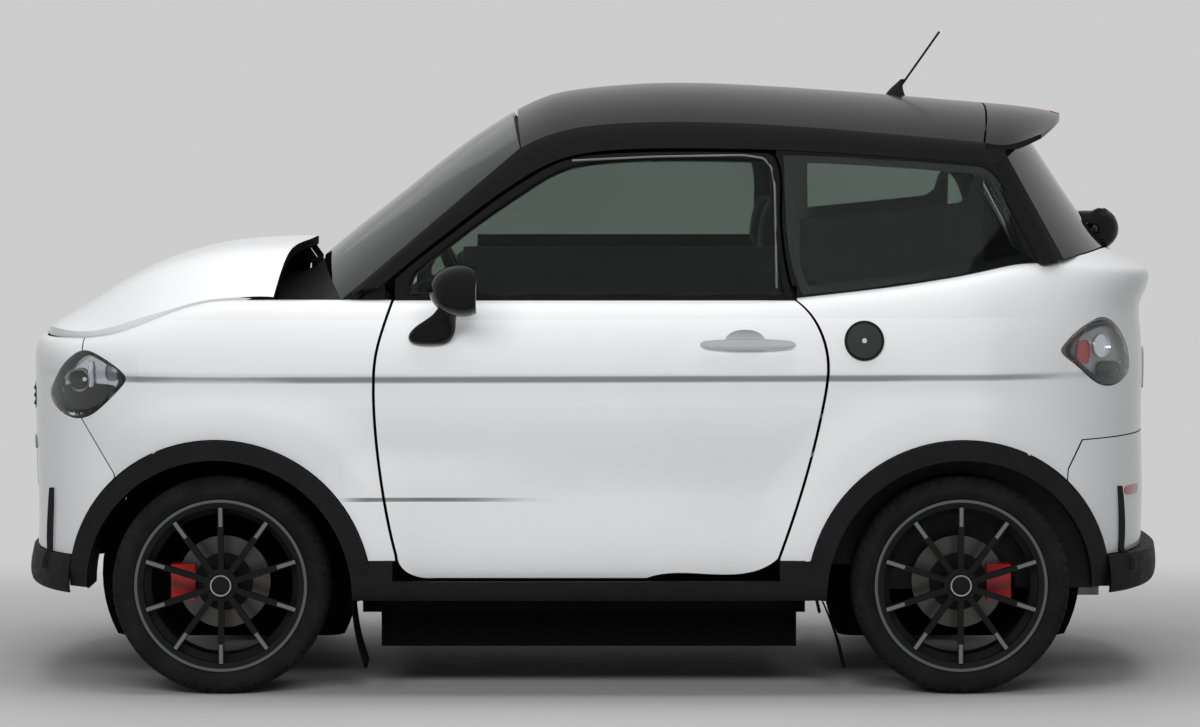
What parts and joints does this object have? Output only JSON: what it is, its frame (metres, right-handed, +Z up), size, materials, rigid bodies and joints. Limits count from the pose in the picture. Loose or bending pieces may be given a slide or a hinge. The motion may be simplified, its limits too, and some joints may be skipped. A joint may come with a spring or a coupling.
{
  "type": "microcar",
  "caption": "Small enclosed two-seat car with a short bonnet, side doors, glass tailgate and black lower cladding.",
  "frame": {"origin": "on the floor under the middle of the car", "axes": "+X forward, +Y to the car's left, +Z up"},
  "size_m": [2.9885, 1.8248, 1.6933],
  "materials": {
    "body_paint": "gloss white",
    "lamp_lens": "clear moulded lens",
    "tail_lens": "red and clear moulded lens",
    "trim_black": "grained black",
    "clear_glass": "lightly green",
    "tinted_glass": "dark tint",
    "chassis_steel": "black coating",
    "cast_metal": "bare casting",
    "exhaust_steel": "dull",
    "seat_fabric": "woven dark grey",
    "dash_plastic": "grained dark grey",
    "gloss_black": "polished black",
    "antenna_rubber": "matt",
    "tyre_rubber": "matt",
    "wheel_alloy": "black with machined faces"
  },
  "bodies": {
    "body": {"antenna": "antenna_rubber", "chassis_floor": "chassis_steel", "cowl_panel": "trim_black", "dashboard": "dash_plastic", "end_trims": "trim_black", "engine_block": "cast_metal", "exhaust": "exhaust_steel", "front_bumper": "body_paint", "front_suspension": "chassis_steel", "front_wings": "body_paint", "greenhouse_frame": "gloss_black", "headlamps": "lamp_lens", "quarter_glass": "tinted_glass", "quarter_panels": "body_paint", "rear_axle": "chassis_steel", "rear_bumper": "body_paint", "rear_pillars": "gloss_black", "roof_panel": "gloss_black", "roof_spoiler": "gloss_black", "seat_left": "seat_fabric", "seat_right": "seat_fabric", "side_trims": "trim_black", "tail_lamps": "tail_lens", "tail_panel": "body_paint", "wheel_arch_liners": "trim_black", "windscreen": "clear_glass"},
    "door_left": {"door_left": "body_paint", "door_glass_left": "clear_glass", "mirror_left": "gloss_black"},
    "door_right": {"door_right": "body_paint", "door_glass_right": "clear_glass", "mirror_right": "gloss_black"},
    "bonnet": {"bonnet": "body_paint"},
    "tailgate": {"tailgate_glass": "tinted_glass"},
    "steering_wheel": {"steering_wheel": "dash_plastic"},
    "knuckle_left": {"knuckle_left": "cast_metal"},
    "knuckle_right": {"knuckle_right": "cast_metal"},
    "wheel_front_left": {"tyre_front_left": "tyre_rubber", "wheel_front_left": "wheel_alloy"},
    "wheel_front_right": {"tyre_front_right": "tyre_rubber", "wheel_front_right": "wheel_alloy"},
    "wheel_rear_left": {"tyre_rear_left": "tyre_rubber", "wheel_rear_left": "wheel_alloy"},
    "wheel_rear_right": {"tyre_rear_right": "tyre_rubber", "wheel_rear_right": "wheel_alloy"}
  },
  "joints": [
    {"name": "door_left_hinge", "type": "hinge", "parent": "body", "child": "door_left", "pos_m": [0.471, 0.716, 0.7], "axis": [0, 0, -1], "range_deg": [0, 65]},
    {"name": "door_right_hinge", "type": "hinge", "parent": "body", "child": "door_right", "pos_m": [0.471, -0.716, 0.7], "axis": [0, 0, 1], "range_deg": [0, 65]},
    {"name": "bonnet_hinge", "type": "hinge", "parent": "body", "child": "bonnet", "pos_m": [0.742, 0, 1.085], "axis": [0, -1, 0], "range_deg": [0, 50]},
    {"name": "tailgate_hinge", "type": "hinge", "parent": "body", "child": "tailgate", "pos_m": [-1.112, 0, 1.444], "axis": [0, 1, 0], "range_deg": [0, 50]},
    {"name": "steer_left", "type": "hinge", "parent": "body", "child": "knuckle_left", "pos_m": [0.945, 0.546, 0.277], "axis": [0, 0, 1], "range_deg": [-30, 30]},
    {"name": "steer_right", "type": "hinge", "parent": "body", "child": "knuckle_right", "pos_m": [0.945, -0.546, 0.277], "axis": [0, 0, 1], "range_deg": [-30, 30]},
    {"name": "steering_wheel_turn", "type": "hinge", "parent": "body", "child": "steering_wheel", "pos_m": [0.33, 0.3, 0.985], "axis": [-0.9135, 0, 0.4067], "range_deg": [-450, 450]},
    {"name": "wheel_front_left_spin", "type": "hinge", "parent": "knuckle_left", "child": "wheel_front_left", "pos_m": [0.945, 0.62, 0.277], "axis": [0, 1, 0], "continuous": true},
    {"name": "wheel_front_right_spin", "type": "hinge", "parent": "knuckle_right", "child": "wheel_front_right", "pos_m": [0.945, -0.62, 0.277], "axis": [0, 1, 0], "continuous": true},
    {"name": "wheel_rear_left_spin", "type": "hinge", "parent": "body", "child": "wheel_rear_left", "pos_m": [-0.931, 0.62, 0.277], "axis": [0, 1, 0], "continuous": true},
    {"name": "wheel_rear_right_spin", "type": "hinge", "parent": "body", "child": "wheel_rear_right", "pos_m": [-0.931, -0.62, 0.277], "axis": [0, 1, 0], "continuous": true}
  ],
  "couplings": [
    {"joint": "steer_right", "follows": "steer_left", "ratio": 1},
    {"joint": "steering_wheel_turn", "follows": "steer_left", "ratio": 15}
  ]
}
